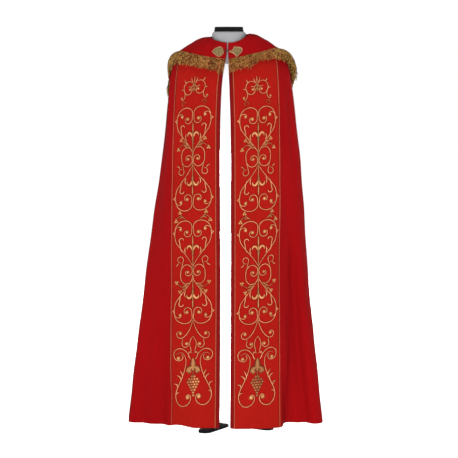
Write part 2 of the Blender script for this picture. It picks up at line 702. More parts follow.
class Nodes:
    """Short ways to build one material's nodes."""

    def __init__(self, name, colour, roughness, metallic=0.0, specular=0.5):
        self.material = bpy.data.materials.new(name)
        self.material.use_nodes = True
        self.tree = self.material.node_tree
        self.shader = self.tree.nodes["Principled BSDF"]
        self.shader.inputs["Base Color"].default_value = (*colour, 1)
        self.shader.inputs["Roughness"].default_value = roughness
        self.shader.inputs["Metallic"].default_value = metallic
        self.shader.inputs["Specular IOR Level"].default_value = specular

    def node(self, kind, **settings):
        made = self.tree.nodes.new(kind)
        for key, value in settings.items():
            setattr(made, key, value)
        return made

    def link(self, source, target):
        self.tree.links.new(source, target)

    def math(self, operation, a, b=None):
        made = self.node("ShaderNodeMath", operation=operation)
        for socket, value in zip(made.inputs, (a, b)):
            if value is None:
                continue
            if isinstance(value, (int, float)):
                socket.default_value = value
            else:
                self.link(value, socket)
        return made.outputs[0]

    def times(self, a, b):
        return self.math("MULTIPLY", a, b)

    def plus(self, a, b):
        return self.math("ADD", a, b)

    def wave(self, value, pitch):
        """A sine of value that repeats at every pitch."""
        return self.math("SINE", self.times(value, 2 * math.pi / pitch))

    def tone(self):
        """The value that add_piece stores for each point."""
        split = self.node("ShaderNodeSeparateColor")
        self.link(self.node("ShaderNodeVertexColor", layer_name="tone").outputs[0], split.inputs[0])
        return split.outputs[0]

    def uv(self):
        split = self.node("ShaderNodeSeparateXYZ")
        self.link(self.node("ShaderNodeUVMap", uv_map="cloth").outputs[0], split.inputs[0])
        return split.outputs[0], split.outputs[1]

    def noise(self, scale, detail=3.0, roughness=0.5, stretch=(1, 1, 1)):
        texture = self.node("ShaderNodeTexNoise")
        texture.inputs["Scale"].default_value = scale
        texture.inputs["Detail"].default_value = detail
        texture.inputs["Roughness"].default_value = roughness
        place = self.node("ShaderNodeMapping")
        place.inputs["Scale"].default_value = stretch
        self.link(self.node("ShaderNodeTexCoord").outputs["Object"], place.inputs[0])
        self.link(place.outputs[0], texture.inputs["Vector"])
        return texture.outputs[0]

    def specks(self, scale):
        """Two values of its own for each small cell."""
        texture = self.node("ShaderNodeTexVoronoi")
        texture.inputs["Scale"].default_value = scale
        self.link(self.node("ShaderNodeTexCoord").outputs["Object"], texture.inputs["Vector"])
        split = self.node("ShaderNodeSeparateColor")
        self.link(texture.outputs["Color"], split.inputs[0])
        return split.outputs[0], split.outputs[1]

    def ramp(self, value, stops):
        made = self.node("ShaderNodeValToRGB")
        self.link(value, made.inputs[0])
        ramp = made.color_ramp
        while len(ramp.elements) < len(stops):
            ramp.elements.new(0.5)
        for element, (place, colour) in zip(ramp.elements, stops):
            element.position = place
            element.color = (*colour, 1)
        return made.outputs[0]

    def tinted(self, a, b, share=1.0):
        """Colour a times colour b, or part of the way to it."""
        made = self.node("ShaderNodeMix", data_type="RGBA", blend_type="MULTIPLY")
        for socket, value in ((made.inputs[0], share), (made.inputs[6], a), (made.inputs[7], b)):
            if isinstance(value, (int, float)):
                socket.default_value = value
            elif isinstance(value, tuple):
                socket.default_value = (*value, 1)
            else:
                self.link(value, socket)
        return made.outputs[2]

    def bump(self, height, distance, strength=1.0, below=None):
        made = self.node("ShaderNodeBump")
        made.inputs["Distance"].default_value = distance
        made.inputs["Strength"].default_value = strength
        self.link(height, made.inputs["Height"])
        if below is not None:
            self.link(below, made.inputs["Normal"])
        return made.outputs[0]

    def finish(self, colour=None, normal=None, roughness=None):
        if colour is not None:
            self.link(colour, self.shader.inputs["Base Color"])
        if normal is not None:
            self.link(normal, self.shader.inputs["Normal"])
        if roughness is not None:
            self.link(roughness, self.shader.inputs["Roughness"])
        return self.material


def scaled(colour, share):
    return tuple(min(1.0, c * share) for c in colour)


# (Layer Weight's Facing, share of the colour that the nap keeps there)
NAP = ((0.60, 1.0), (0.82, 0.85), (0.96, 0.50))


def woven(name, colour, pitch, roughness=0.9, deep=0.00018, uneven=0.07):
    """Plain weave: warp and weft that pass over each other, on slightly uneven dye."""
    made = Nodes(name, colour, roughness, specular=0.03)
    across, along = made.uv()
    over = made.times(made.wave(across, pitch), made.wave(along, pitch))
    height = made.plus(made.math("ABSOLUTE", over), made.times(over, 0.4))
    slub = made.noise(900, 2, 0.6, (1, 1, 0.08))
    height = made.plus(height, made.times(slub, 0.8))
    dye = made.ramp(
        made.noise(5.0, 5, 0.6, (1, 1, 0.5)),
        ((0.30, scaled(colour, 1 - uneven)), (0.72, scaled(colour, 1 + uneven))),
    )
    threads = made.ramp(
        made.noise(420, 2, 0.7, (1, 1, 0.15)), ((0.3, (0.86, 0.86, 0.86)), (0.7, (1, 1, 1)))
    )
    rounded = made.bump(made.noise(14, 3, 0.5), 0.0025, 0.35)
    turning = made.node("ShaderNodeLayerWeight").outputs["Facing"]
    nap = made.ramp(turning, [(place, (share,) * 3) for place, share in NAP])
    cloth = made.tinted(made.tinted(dye, threads), nap)
    return made.finish(cloth, made.bump(height, deep, 0.6, rounded))


# Tones of the embroidery thread, and the tint that each gives it.
OLIVE, OCHRE, DULL_GOLD, ROSE_GOLD, PALE = 0.2, 0.4, 0.6, 0.8, 1.0
THREAD_TINTS = (
    (OLIVE, (0.40, 0.36, 0.22)),
    (OCHRE, (0.62, 0.56, 0.40)),
    (DULL_GOLD, (0.82, 0.88, 0.68)),
    (ROSE_GOLD, (1.00, 0.86, 0.84)),
    (PALE, (1.15, 1.22, 1.15)),
)


def satin_stitch(name, light, mid, edge, metallic, roughness):
    """Flat metal thread laid side by side across a shape; its rim is darker."""
    made = Nodes(name, light, roughness, metallic, specular=0.2)
    across, along = made.uv()
    middle = made.math("ABSOLUTE", made.math("SUBTRACT", across, 0.5))
    body = made.ramp(middle, ((0.10, light), (0.30, mid), (0.47, edge)))
    grain = made.ramp(made.noise(1500, 2, 0.7), ((0.3, (0.80, 0.78, 0.74)), (0.7, (1, 1, 1))))
    tint = made.ramp(made.tone(), THREAD_TINTS)
    shade = made.ramp(made.noise(60, 3, 0.6), ((0.35, (0.72, 0.62, 0.50)), (0.62, (1, 1, 1))))
    colour = made.tinted(made.tinted(made.tinted(body, grain), tint), shade)
    return made.finish(colour, made.bump(made.wave(along, 0.00055), 0.00012, 0.7))


SHOULDER = (0.15, 0.23)  # how far to either side tarnish starts, and is full, in metres


def twisted(name, dark, mid, light, metallic, roughness, pitch, lean, flecks=0.3, tarnish=None):
    """Metal thread twisted into a strand; tone, from 0 to 1, picks each strand's colour.

    tarnish is the tint that the thread takes at the shoulders.
    """
    made = Nodes(name, mid, roughness, metallic, specular=0.15)
    across, along = made.uv()
    wave = made.wave(made.plus(made.times(along, 1 / pitch), made.times(across, lean)), 1)
    bright, greenish = made.specks(270)
    fleck = made.times(made.math("SUBTRACT", bright, 0.5), flecks)
    picked = made.plus(made.plus(made.tone(), made.times(wave, 0.12)), fleck)
    colour = made.ramp(picked, ((0.05, dark), (0.50, mid), (0.95, light)))
    if tarnish:
        tint = made.ramp(greenish, ((0.2, (1.0, 0.74, 0.74)), (0.8, (0.80, 1.0, 0.72))))
        colour = made.tinted(colour, tint)
        place = made.node("ShaderNodeSeparateXYZ")
        made.link(made.node("ShaderNodeTexCoord").outputs["Object"], place.inputs[0])
        share = made.node("ShaderNodeMapRange")
        share.inputs["From Min"].default_value, share.inputs["From Max"].default_value = SHOULDER
        made.link(made.math("ABSOLUTE", place.outputs["X"]), share.inputs["Value"])
        colour = made.tinted(colour, tarnish, share.outputs["Result"])
    return made.finish(colour, made.bump(wave, 0.0004, 0.8))


def jersey(name, shade):
    made = Nodes(name, (shade, shade * 0.99, shade * 1.01), 0.95, specular=0.05)
    across, along = made.uv()
    height = made.plus(made.wave(across, 0.0012), made.times(made.wave(along, 0.0009), 0.5))
    light, dark = (shade * 1.04,) * 3, (shade * 0.95, shade * 0.94, shade * 0.97)
    tone = made.ramp(made.noise(9, 4), ((0.3, dark), (0.7, light)))
    return made.finish(tone, made.bump(height, 0.00015, 0.5))


def enamel(name, colour, roughness, uneven, specular):
    """Smooth paint with a faint orange-peel and fine scuffs."""
    made = Nodes(name, colour, roughness, specular=specular)
    peel = made.bump(made.noise(260, 2), 0.0002, 0.25)
    tone = made.ramp(made.noise(24, 5), ((0.3, colour), (0.75, scaled(colour, 1 + uneven))))
    smooth, rough = (roughness * 0.8,) * 3, (min(1, roughness * 1.35),) * 3
    scuff = made.ramp(made.noise(40, 6, 0.7), ((0.35, smooth), (0.7, rough)))
    return made.finish(tone, peel, scuff)


def antique_gold():
    """Gilt metal; tone, from 0 to 1, goes from the tarnished ground to the rubbed rim."""
    made = Nodes("antique_gold", (0.62, 0.46, 0.18), 0.34, 0.85)
    worn = made.ramp(
        made.tone(),
        ((0.3, (0.15, 0.11, 0.03)), (0.55, (0.28, 0.21, 0.095)), (0.8, (0.64, 0.35, 0.21))),
    )
    tarnish = made.ramp(made.noise(260, 4, 0.65), ((0.30, (0.50, 0.56, 0.42)), (0.62, (1, 1, 1))))
    rough = made.ramp(made.noise(300, 3), ((0.3, (0.30,) * 3), (0.7, (0.52,) * 3)))
    bumps = made.bump(made.noise(900, 3), 0.0002, 0.5)
    return made.finish(made.tinted(worn, tarnish), bumps, rough)


CRIMSON = woven("crimson_cloth", (0.215, 0.0019, 0.0029), 0.0011)
SUNK = woven("scarlet_sunk_cloth", (0.155, 0.0038, 0.0025), 0.0008)
CRIMSON_HOOD = woven("crimson_hood_cloth", (0.232, 0.0023, 0.0034), 0.0011)
CRIMSON_EDGE = woven("crimson_turned_edge", (0.150, 0.0040, 0.0045), 0.0011)
REVERSE = woven("crimson_cloth_reverse", (0.80, 0.78, 0.74), 0.0011)
SCARLET = woven("scarlet_cloth", (0.250, 0.0060, 0.0036), 0.0008)
STITCHED = satin_stitch(
    "gold_satin_stitch", (0.70, 0.355, 0.163), (0.44, 0.138, 0.053), (0.15, 0.036, 0.012), 0.1, 0.5
)
CORD = twisted(
    "gold_cord", (0.18, 0.024, 0.009), (0.30, 0.052, 0.022), (0.40, 0.11, 0.045),
    metallic=0.1, roughness=0.5, pitch=0.0022, lean=1,
)
BULLION = twisted(
    "gold_bullion", (0.055, 0.010, 0.003), (0.195, 0.046, 0.0080), (0.62, 0.320, 0.100), 0.15, 0.5,
    0.0026, 1, 1.05, (0.84, 1.12, 0.88),
)
NECK_JERSEY = jersey("grey_jersey", 0.258)
BODY_JERSEY = jersey("white_jersey", 0.74)
BLACK = enamel("black_paint", (0.006, 0.005, 0.006), 0.75, 0.25, 0.02)
WHITE = enamel("white_paint", (0.76, 0.76, 0.75), 0.40, 0.05, 0.4)
GILT = antique_gold()
DARK_METAL = enamel("dark_hook", (0.022, 0.014, 0.010), 0.45, 0.6, 0.2)


# ---- the cope -----------------------------------------------------------------------------------


def spread(*stretches):
    """Places along a run, from (start, end, steps) stretches that follow on."""
    runs = [np.linspace(a, b, n + 1)[(1 if k else 0) :] for k, (a, b, n) in enumerate(stretches)]
    return np.concatenate(runs)


INNER, CORD_SHARE = EDGE_STRIP / BAND, CORD_WIDE / BAND
BAND_COLS = np.concatenate([[0, INNER / 2], np.linspace(INNER, 1, 17)])
MANTLE_COLS = np.concatenate([BAND_COLS, spread((1, SIDE_END, 44), (SIDE_END, 2, 82))[1:]])
MANTLE_DROPS = spread((0, 0.25, 34), (0.25, LONGEST_DROP, 84))


def all_round(make, columns, drops, offset):
    """A grid from the left front edge round the back to the right front edge."""
    left = make("left", columns[None, :], drops, offset)
    right = make("right", columns[None, :], drops, offset)
    return np.concatenate([left, right[:, -2::-1]], axis=1)


def uv_all_round(columns, drops):
    rows = np.broadcast_to(drops, (len(drops), len(columns)))
    across = np.where(columns < 1, columns * BAND, BAND + (columns - 1) * 0.8)[None, :] + 0 * rows
    u = np.concatenate([across, 4.0 - across[:, -2::-1]], axis=1)
    v = np.concatenate([rows, rows[:, -2::-1]], axis=1)
    return np.stack([u, v], axis=-1)


def make_mantle():
    drops = MANTLE_DROPS[:, None]
    outer = all_round(fine_cloth, MANTLE_COLS, drops, -0.0002)
    inner = all_round(fine_cloth, MANTLE_COLS, drops, -MANTLE_THICK)
    uv = uv_all_round(MANTLE_COLS, drops)
    mantle = shell("mantle_cloth", outer, inner, uv, CRIMSON, REVERSE, CRIMSON_EDGE)
    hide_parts("mantle_left", "mantle_right")


def make_orphreys():
    drops = MANTLE_DROPS[MANTLE_DROPS > DROPS[1]][:, None]
    columns = BAND_COLS[2:]
    for side in SIDES:
        low, high = SEAM_GAP, SEAM_GAP + ORPHREY_THICK
        outer = fine_cloth(side, columns[None, :], drops, high)
        inner = fine_cloth(side, columns[None, :], drops, low)
        if side == "right":
            outer, inner = outer[:, ::-1], inner[:, ::-1]
        u = np.broadcast_to(columns[None, :] * BAND, outer.shape[:2])
        uv = np.stack([u, np.broadcast_to(drops, u.shape)], axis=-1)
        band = shell(f"orphrey_{side}_cloth", outer, inner, uv, SCARLET)
        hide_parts(f"orphrey_{side}")
        for place, centre in (("inner", INNER + CORD_SHARE / 2), ("outer", 1 - CORD_SHARE / 2)):
            make_cord(side, place, centre)


def make_cord(side, place, centre):
    """A narrow gold braid, rounded on top, sewn along an orphrey's border."""
    drops = np.linspace(DROPS[1] + 0.004, LONGEST_DROP, 420)
    turns = np.linspace(0, math.pi, 7)
    heap = Heap()
    across = -np.cos(turns) * CORD_SHARE / 2
    height = SEAM_GAP + ORPHREY_THICK + np.sin(turns) * CORD_THICK
    points = fine_cloth(side, centre + across[None, :], drops[:, None], height[None, :])
    uv = across_and_along(turns / math.pi, drops)
    faces = quads(len(drops), len(turns), flip=side == "right")
    heap.add(points, faces, uv, 0.55)
    cord = heap.piece(f"gold_cord_{side}_{place}", CORD)
    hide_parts(f"orphrey_cord_{side}_{place}")


def make_hood():
    down = np.linspace(0, 1, 64)[:, None]
    columns = spread((0, 1, 44), (1, 1.4, 36), (1.4, 2, 44))

    def face(offset):
        halves = [
            fine_hood(s, columns[None, :], down * hood_edge(s, columns)[0], offset) for s in SIDES
        ]
        return np.concatenate([halves[0], halves[1][:, -2::-1]], axis=1)

    uv = uv_all_round(columns, down * 0.4)
    hood = shell("hood_cloth", face(HOOD_THICK), face(0.0002), uv, CRIMSON_HOOD)
    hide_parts("hood")


# ---- the fringe ---------------------------------------------------------------------------------

STRANDS = 640  # in each of its layers
STRAND_R = 0.00095
CRIMP, CRIMP_LONG = 0.0011, 0.0042  # how far a strand waves, and the length of a radian of it
WRAPS = 560  # in each row of the head
WRAP_R, WRAP_HALF, WRAP_ROUND = 0.0011, 0.0021, 0.0018  # radius, half-height, how far it bulges
# (share of the head's height, lean in columns, tone) of each row of wraps
WRAP_ROWS = ((0.55, -0.006, 0.42), (0.95, 0.006, 0.62))
# (offset above the hood's outer face, share of the full length, tone) of each layer
FRINGE_LAYERS = ((0.0006, 0.90, 0.30), (0.0026, 1.00, 0.46), (0.0048, 0.95, 0.58))
# Where no strand hangs past the shoulder's outline: side, first column, last column.
PARTED = (("left", 1.250, 1.350),)
# How the strands hang round the shoulders: the share of the layers' depth that is left there, how
# far below the edge they start, how near to plumb they hang, from the first to the last share
# (0 follows the cloth, 1 is plumb), and the share of their length.
Fall = namedtuple("Fall", "column depth lower first last long")
FALLS = {
    "left": table(
        Fall,
        (0.90, 1.00, 0.000, 0.0, 0.0, 1.00),
        (1.05, 0.40, 0.003, 0.0, 0.5, 1.00),
        (1.10, 0.30, 0.003, 0.5, 1.1, 1.00),
        (1.20, 0.30, 0.001, 0.8, 1.3, 0.95),
        (1.25, 0.30, 0.000, 0.8, 1.3, 0.72),
        (1.36, 0.90, 0.000, -0.1, 0.6, 1.00),
        (1.60, 1.00, 0.000, 0.0, 0.0, 1.00),
        (2.00, 1.00, 0.000, 0.0, 0.0, 1.00),
    ),
    "right": table(
        Fall,
        (0.90, 1.00, 0.000, 0.0, 0.0, 1.00),
        (1.05, 0.40, 0.004, 0.0, 0.1, 1.00),
        (1.15, 0.35, 0.005, 0.0, 0.6, 1.00),
        (1.20, 0.70, 0.002, 0.0, 1.3, 1.00),
        (1.30, 1.30, 0.000, -0.3, 1.2, 1.00),
        (1.36, 0.90, 0.000, 0.5, 1.2, 0.90),
        (1.45, 0.60, 0.000, 0.9, 1.2, 0.80),
        (1.60, 1.00, 0.000, 0.0, 0.0, 1.00),
        (2.00, 1.00, 0.000, 0.0, 0.0, 1.00),
    ),
}


def fall_at(side, column):
    """(depth, lower, first, last, long) of the strands there."""
    columns, *values = zip(*FALLS[side])
    return [float(np.interp(column, columns, value)) for value in values]


def hood_round():
    """(distance along the hood's edge, place) at many places; past 2 a place is on the right."""
    edges = [hood_layer(s, TABLE_COLUMNS, hood_edge(s, TABLE_COLUMNS)[0], 0) for s in SIDES]
    along = lengths_along(np.concatenate([edges[0], edges[1][-2::-1]]))
    return along, np.concatenate([TABLE_COLUMNS, 4 - TABLE_COLUMNS[-2::-1]])


def on_round(place):
    return ("left", place) if place <= 2 else ("right", 4 - place)


def make_fringe():
    chance = np.random.default_rng(7)
    along, places = hood_round()
    heap = Heap()
    under_head = FRINGE_HEAD * 0.6  # where a strand starts
    steps = np.linspace(0, 1, 10)
    for layer, (offset, share, tone) in enumerate(FRINGE_LAYERS):
        for k in range(STRANDS):
            at = (k + 0.5 + 0.33 * layer + chance.normal(0, 0.35)) / STRANDS * along[-1]
            side, column = on_round(float(np.interp(at, along, places)))
            edge, _ = hood_edge(side, column)
            if any(side == s and first < column < last for s, first, last in PARTED):
                continue
            depth, lower, first, last, long = fall_at(side, column)
            hangs = (fringe_length(side, column) + under_head) * share * long
            hangs *= 1 + chance.normal(0, 0.09)
            sway = chance.normal(0, 0.012) + 0.008 * math.sin(at * 41) + 0.005 * math.sin(at * 97)
            crimp = CRIMP * np.sin(steps * hangs / CRIMP_LONG + chance.uniform(0, 6.3))
            lift = offset + chance.normal(0, 0.0008) + abs(chance.normal(0, 0.0018)) * steps
            lift = lift * depth
            drops = edge + lower - under_head + hangs * steps
            columns = np.clip(column + sway * steps**1.5 + crimp / BAND, 0, 2)
            path = fine_hood(side, columns, drops, HOOD_THICK + STRAND_R + lift + crimp * 0.5)
            plumb = chance.uniform(first, last)
            if plumb:
                fallen = np.linalg.norm(path - path[0], axis=1)[:, None] * [0, 0, -1]
                wavy = crimp[:, None] * [0.7, 0.7, 0]
                path = path * (1 - plumb) + (path[0] + fallen + wavy) * plumb
            radii = STRAND_R * (1 + 0.1 * np.sin(9 * steps + k)) * np.where(steps > 0.99, 0.5, 1)
            heap.tube(path, radii, 4, np.clip(tone + chance.normal(0, 0.12), 0, 1))
    add_fringe_head(heap, chance)
    fringe = heap.piece("bullion_fringe", BULLION)
    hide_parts("fringe")


def add_fringe_head(heap, chance):
    """The woven head: two rows of short slanted wraps round a cord."""
    along, places = hood_round()
    steps = np.linspace(-1, 1, 5)
    lift = HOOD_THICK + 0.0016 + WRAP_ROUND * (1 - steps**2)
    for row, (rise, lean, tone) in enumerate(WRAP_ROWS):
        for k in range(WRAPS):
            at = (k + 0.5 * row + 0.5) / (WRAPS + 1) * along[-1]
            side, column = on_round(float(np.interp(at, along, places)))
            edge, _ = hood_edge(side, column)
            drops = edge - FRINGE_HEAD * rise + WRAP_HALF * steps
            columns = np.clip(column + lean * steps, 0, 2)
            path = fine_hood(side, columns, drops, lift)
            heap.tube(path, WRAP_R, 4, np.clip(tone + chance.normal(0, 0.12), 0, 1))


# ---- the embroidery -----------------------------------------------------------------------------

# The pattern is drawn on a grid of units, 46 across the orphrey and 335 down it. A unit is a pixel
# of the photo, and its places were read by eye off enlarged views. x is counted from the middle out
# and is mirrored; y is counted down.
STITCH = 0.003683  # metres to a unit
PATTERN_TOP_Z = 1.3270  # height of y = 75 at the middle of an orphrey
PATTERN_TOP_Y = 75
# How the pattern sits on the hanging cloth: at y, its fall for each unit outward on the two sides,
# the share by which it is drawn together and its shift outward.
Hang = namedtuple("Hang", "y left_lean right_lean narrowed shift")
HANGS = table(
    Hang,
    (75, 0.14, -0.10, 0.06, 0.0),
    (170, 0.08, -0.10, 0.01, 0.0),
    (300, 0.07, -0.09, 0.00, 0.0),
    (345, 0.04, -0.07, 0.00, -0.5),
    (410, 0.15, -0.10, 0.00, -1.1),
)


def coil(x, y, *turns):
    """A path round (x, y) through (angle, radius) turns; angles in degrees, 90 is upward."""
    angles = np.array([a for a, _ in turns], float)
    radii = np.array([r for _, r in turns], float)
    share = np.linspace(0, 1, len(turns))
    t = np.linspace(0, 1, 12 * len(turns))
    angle = np.radians(np.interp(t, share, angles))
    radius = monotone(t, share, radii)
    return np.column_stack([x + radius * np.cos(angle), y - radius * np.sin(angle)])


def bend(start, start_pull, end_pull, end, steps=22):
    """A cubic curve, its pulls given as vectors from its ends."""
    start, end = np.array(start, float), np.array(end, float)
    a, b = start + start_pull, end + end_pull
    t = np.linspace(0, 1, steps)[:, None]
    return (1 - t) ** 3 * start + 3 * t * (1 - t) ** 2 * a + 3 * t * t * (1 - t) * b + t**3 * end


def grown(foot, pull, path, reach):
    """A path that leaves foot along pull and runs smoothly into the given one."""
    back = path[0] - path[1]
    back = back / np.linalg.norm(back) * reach
    return np.concatenate([bend(foot, np.array(pull, float), back, path[0])[:-1], path])


def through(*points):
    """A smooth path through a few points."""
    points = np.array(points, float)
    padded = np.concatenate([[2 * points[0] - points[1]], points, [2 * points[-1] - points[-2]]])
    slopes = (padded[2:] - padded[:-2]) / 2
    out = []
    for k in range(len(points) - 1):
        t = np.linspace(0, 1, 10)[:, None][: -1 if k < len(points) - 2 else None]
        out.append(
            (2 * t**3 - 3 * t**2 + 1) * points[k]
            + (t**3 - 2 * t**2 + t) * slopes[k]
            + (3 * t**2 - 2 * t**3) * points[k + 1]
            + (t**3 - t**2) * slopes[k + 1]
        )
    return np.concatenate(out)


class Pattern:
    """Strokes and buds of one orphrey's embroidery, in pattern units."""

    def __init__(self):
        self.strokes, self.buds = [], []
        self.move_to(0, 1)

    def move_to(self, origin, way):
        """What follows is drawn from y = origin, upright if way is 1 and upside down if -1."""
        self.origin, self.way = origin, way

    def place(self, path, mirror):
        return np.array(path, float) * [mirror, self.way] + [0, self.origin]

    def stroke(self, path, wide=0.95, ends=(0.35, 0.6), both=True, tone=ROSE_GOLD):
        for mirror in (1, -1) if both else (1,):
            self.strokes.append((self.place(path, mirror), wide, ends, tone))

    def line(self, *points, wide=0.85, ends=(0.35, 0.6), both=True, tone=ROSE_GOLD):
        self.stroke(through(*points), wide, ends, both, tone)

    def leaf(self, *points, wide=1.7, both=True, tone=ROSE_GOLD):
        self.line(*points, wide=wide, ends=(0.08, 0.08), both=both, tone=tone)

    def bud(self, x, y, radius, both=True, tone=DULL_GOLD):
        for mirror in (1, -1) if both else (1,):
            self.buds.append((self.place((x, y), mirror), radius, tone))

    def berry(self, x, y, radius):
        """Three buds that touch."""
        for turn in (90, 210, 330):
            angle = math.radians(turn)
            self.bud(x + radius * math.cos(angle), y - radius * math.sin(angle), radius)


def add_crown(pattern):
    """The small scrolls at the top, with a sprig between them."""
    scroll = coil(
        6.0, 87.2, (130, 6.6), (80, 6.9), (30, 6.4), (-20, 6.0), (-70, 6.4), (-115, 5.6),
        (-165, 3.6), (-225, 2.2), (-290, 1.4),
    )
    pattern.stroke(grown((0.4, 83.5), (0.4, -2.0), scroll, 1.6), 0.9)
    pattern.bud(4.6, 88.6, 1.5)
    pattern.line((11.6, 88.4), (10.6, 92.0), (10.8, 95.4), (12.4, 98.2), (14.4, 98.0), (15.2, 96.4))
    pattern.bud(14.4, 96.2, 1.3)
    pattern.leaf((8.6, 81.2), (10.4, 80.4), (11.6, 78.2), wide=1.0)
    pattern.leaf((11.8, 87.0), (13.4, 88.0), (15.0, 87.4), wide=0.9)
    pattern.leaf((0.8, 82.4), (2.6, 80.0), (3.4, 76.8), wide=1.0)
    pattern.leaf((0, 82.4), (0, 79.0), (0, 75.4), wide=1.1, both=False)
    pattern.leaf((0, 82.5), (0, 86.4), (0, 91.2), wide=2.0, both=False, tone=OLIVE)
    pattern.leaf((0.4, 83.2), (1.9, 85.4), (3.6, 86.2), wide=1.3, tone=OCHRE)
    pattern.leaf((0.3, 86.6), (1.3, 88.8), (2.6, 90.0), wide=0.9, tone=OCHRE)
    ring = coil(11.6, 102.4, (200, 2.2), (120, 2.2), (40, 2.2), (-40, 2.0), (-100, 1.7))
    pattern.stroke(ring, 0.45, tone=OCHRE)


def add_heart(pattern):
    """A heart of two scrolls round a fleur-de-lis, its foot at the origin, its scrolls upward."""
    outer = coil(
        8.3, -33.0, (-54, 14.2), (-25, 11.8), (2, 10.9), (28, 11.2), (52, 11.5), (78, 11.5),
        (101, 11.4), (124, 10.8), (146, 9.3),
    )
    inner = coil(6.1, -32.8, (173, 5.1), (213, 4.9), (255, 4.6), (300, 3.9), (345, 3.1), (400, 2.4))
    pattern.stroke(
        grown((0.5, 1.2), (1.3, -5.5), np.concatenate([outer, inner]), 7.0), 0.95, (0.5, 0.8)
    )
    pattern.bud(6.2, -33.0, 1.95)
    curl = coil(14.2, -35.2, (-4, 4.9), (32, 4.1), (75, 3.5), (120, 3.0), (170, 2.4), (215, 1.7))
    pattern.stroke(curl, 0.85)
    pattern.bud(13.1, -36.0, 1.7)
    hook = coil(12.0, -24.6, (-18, 2.3), (28, 2.4), (76, 2.5), (124, 2.4), (165, 2.1))
    pattern.stroke(grown((11.4, -13.2), (2.2, -3.2), hook, 4.0), 1.15, (0.2, 1.0))
    pattern.leaf((7.2, -11.2), (8.6, -14.6), (7.7, -18.2), wide=1.4)
    pattern.leaf((19.2, -29.4), (20.2, -31.4), (22.2, -32.4), wide=1.3)
    pattern.leaf((19.3, -34.2), (20.6, -32.8), (22.2, -32.2), wide=0.9)
    pattern.line((0, 1), (0, -6), (0, -15), wide=1.0, ends=(0.8, 1.1), both=False, tone=OCHRE)
    pattern.leaf((0, -8.0), (0, -15.4), (0, -21.4), wide=2.8, both=False, tone=OLIVE)
    pattern.leaf(
        (0.5, -13.8), (1.6, -17.2), (3.6, -19.0), (5.6, -18.0), (6.1, -15.4), wide=2.8, tone=0.7
    )
    pattern.leaf((0, -19.0), (0, -24.4), (0, -29.4), wide=1.9, both=False, tone=OCHRE)


def add_side_sprig(pattern):
    """Sprigs that leave the heart's lower strands and carry two berries each."""
    pattern.line((4.6, -6.4), (8.0, -8.4), (11.0, -10.2), (12.6, -11.4), wide=0.8, tone=OCHRE)
    pattern.berry(13.3, -12.2, 1.05)
    pattern.line((6.0, -6.8), (10.6, -7.6), (13.6, -6.4), (15.6, -4.4), wide=0.6, tone=OCHRE)
    pattern.berry(16.7, -3.0, 1.15)
    pattern.leaf((5.6, -6.6), (8.0, -6.0), (10.6, -7.4), wide=1.3, tone=OCHRE)
    pattern.leaf((6.4, -8.0), (8.6, -10.4), (11.2, -9.2), wide=1.2, tone=OCHRE)
    pattern.leaf((3.4, -4.4), (5.4, -3.6), (7.6, -4.6), wide=1.1, tone=OLIVE)


def add_twin_scrolls(pattern):
    """Two oval scrolls under a heart's foot, with tails that hook back upward."""
    outer = coil(
        6.5, -3.9, (150, 6.8), (120, 8.8), (90, 9.8), (55, 8.4), (20, 6.7), (-10, 6.3), (-45, 7.7),
        (-90, 9.7), (-125, 8.5), (-155, 6.3),
    )
    inner = coil(
        5.3, -1.7, (-172, 4.5), (-215, 4.1), (-260, 3.7), (-310, 3.1), (-360, 2.4), (-400, 1.9)
    )
    scroll = np.concatenate([outer, inner])
    pattern.stroke(grown((0.3, -4.5), (0.1, -1.2), scroll, 1.4), 0.9, (0.5, 0.8))
    pattern.bud(5.4, -1.7, 1.6)
    tail = coil(
        *(12.9, 9.8, (180, 2.9), (225, 3.7), (270, 4.2), (315, 3.6), (365, 2.4), (420, 2.1)),
        (470, 1.9),
    )
    pattern.stroke(grown((12.1, 1.6), (-0.8, 2.4), tail, 2.2), 0.85)
    pattern.leaf((14.6, 7.4), (15.8, 5.8), (18.0, 4.6), wide=1.1)
    pattern.leaf((0, -8.0), (0, -1.0), (0, 7.0), wide=1.5, both=False, tone=OLIVE)


def add_middle_sprig(pattern):
    """The sprigs on the shoulders of the lower heart, where the pattern turns over."""
    pattern.line((8.0, 218.6), (10.4, 216.4), (12.8, 214.4), (13.8, 213.2), wide=0.75, tone=OCHRE)
    pattern.berry(14.1, 211.8, 1.15)
    pattern.leaf((9.6, 217.2), (12.4, 216.6), (14.4, 218.2), wide=1.2, tone=OCHRE)
    pattern.line((11.6, 215.4), (14.8, 215.4), (17.0, 217.4), (17.8, 218.8), wide=0.6, tone=OCHRE)
    pattern.berry(18.2, 220.2, 1.2)


def add_ogee(pattern):
    """The two strands that open under the last heart, and the pointed loop between them."""
    left = coil(13.0, 333.6, (242, 4.7), (280, 4.6), (325, 4.1), (370, 3.2), (420, 2.4), (470, 1.8))
    pattern.stroke(grown((0.2, 319.8), (1.4, 6.6), left, 6.2), 0.95)
    pattern.bud(12.9, 333.4, 1.75)
    right = coil(
        7.0, 343.6, (28, 4.5), (-20, 4.4), (-65, 4.1), (-110, 3.2), (-165, 2.3), (-230, 1.7)
    )
    pattern.stroke(grown((10.8, 337.6), (1.0, 1.6), right, 1.8), 0.9)
    pattern.bud(6.8, 343.8, 1.7)
    pattern.line((0, 336), (2.6, 340.4), (3.3, 344.8), (2, 350.4), (2.8, 352.8), (4.4, 351.6))


GRAPES = (2, 4, 5, 4, 3, 2, 1, 1)  # in each row of the bunch


